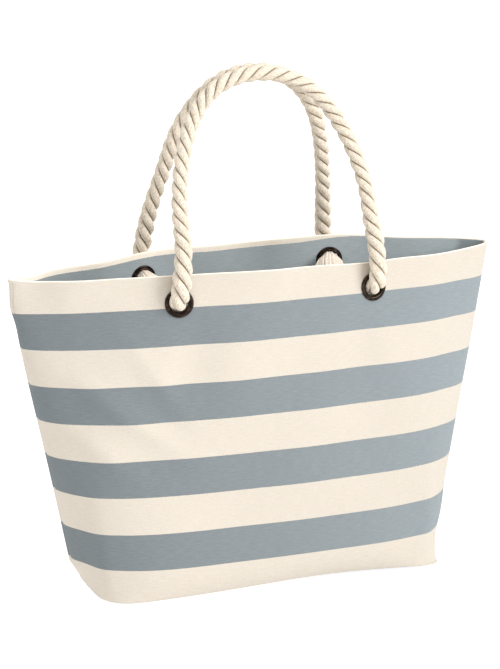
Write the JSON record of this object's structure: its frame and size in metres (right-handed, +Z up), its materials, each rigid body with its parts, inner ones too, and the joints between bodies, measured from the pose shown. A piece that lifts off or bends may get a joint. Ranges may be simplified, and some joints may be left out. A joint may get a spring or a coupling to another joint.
{
  "type": "beach bag",
  "caption": "Open-topped striped canvas beach tote with a boxed base, a turned hem with metal eyelets, and swinging twisted-rope handles knotted inside.",
  "frame": {"origin": "middle of the base, on the surface the bag stands on", "axes": "+Z up, +X to the right along the mouth, front panel faces -Y"},
  "size_m": [0.546, 0.1678, 0.557],
  "materials": {
    "striped_canvas": "plain-woven cotton canvas, cream with blue-grey stripes, matt",
    "cotton_tape": "woven cotton binding tape, matt",
    "dark_metal": "blackened brass, satin",
    "cotton_rope": "three-strand natural cotton rope, matt"
  },
  "bodies": {
    "bag": {"front_panel": "striped_canvas", "back_panel": "striped_canvas", "left_seam_binding": "cotton_tape", "right_seam_binding": "cotton_tape", "base_seam_binding": "cotton_tape", "left_corner_binding": "cotton_tape", "right_corner_binding": "cotton_tape", "front_left_eyelet": "dark_metal", "front_right_eyelet": "dark_metal", "back_left_eyelet": "dark_metal", "back_right_eyelet": "dark_metal", "front_left_eyelet_washer": "dark_metal", "front_right_eyelet_washer": "dark_metal", "back_left_eyelet_washer": "dark_metal", "back_right_eyelet_washer": "dark_metal", "front_left_rope_knot": "cotton_rope", "front_right_rope_knot": "cotton_rope", "back_left_rope_knot": "cotton_rope", "back_right_rope_knot": "cotton_rope"},
    "front_handle": {"front_handle_rope": "cotton_rope"},
    "back_handle": {"back_handle_rope": "cotton_rope"}
  },
  "joints": [
    {"name": "front_handle_swing", "type": "hinge", "parent": "bag", "child": "front_handle", "pos_m": [0, -0.0745, 0.3225], "axis": [1, 0, 0], "range_deg": [0, 170]},
    {"name": "back_handle_swing", "type": "hinge", "parent": "bag", "child": "back_handle", "pos_m": [0, 0.0745, 0.3225], "axis": [-1, 0, 0], "range_deg": [0, 170]}
  ]
}
